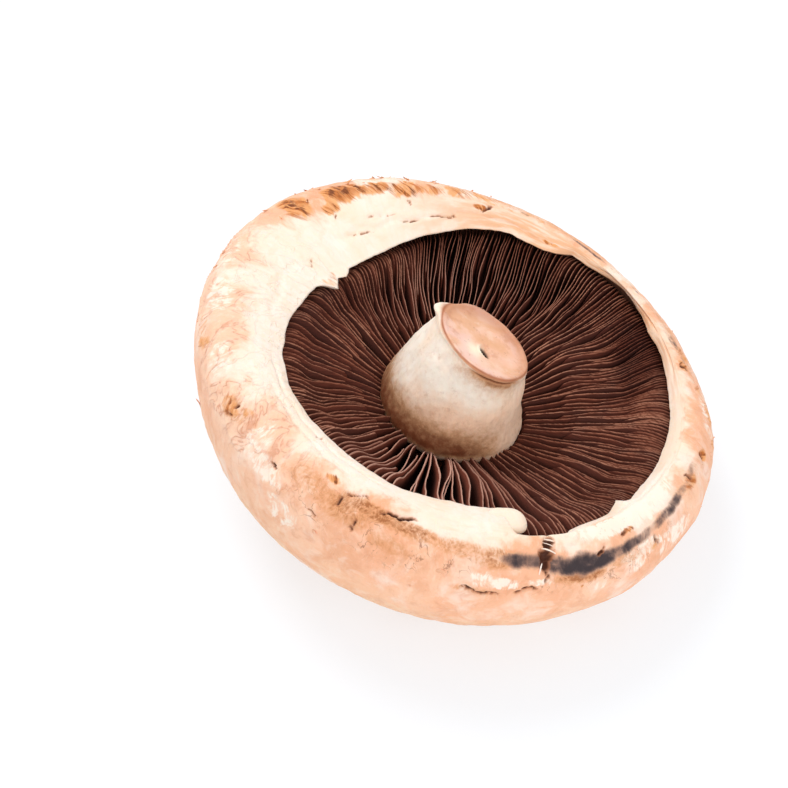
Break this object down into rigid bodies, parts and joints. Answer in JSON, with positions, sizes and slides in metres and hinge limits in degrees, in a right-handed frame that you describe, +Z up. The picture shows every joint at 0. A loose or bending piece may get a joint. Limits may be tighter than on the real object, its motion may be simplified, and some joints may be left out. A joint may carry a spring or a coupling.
{
  "type": "portobello mushroom",
  "caption": "Trimmed portobello mushroom lying on its cap with the gills facing up, its rolled rim and short stem leaning to one side.",
  "frame": {"origin": "middle of the bounding box's bottom, level with the flat spot that the cap rests on", "axes": "+Z up from the surface it lies on; +X the way the stem leans; -Y the side that the open gills face"},
  "size_m": [0.1124, 0.1204, 0.0473],
  "materials": {
    "cap_skin": "matte fibrous skin, peach tan with cream and brown patches",
    "gill_flesh": "matte dark chocolate brown, paler along the gills' edges",
    "stem_flesh": "matte cream, greyer and mottled toward the gills"
  },
  "bodies": {
    "root": {"cap": "cap_skin", "gills": "gill_flesh", "stem": "stem_flesh"}
  },
  "joints": []
}
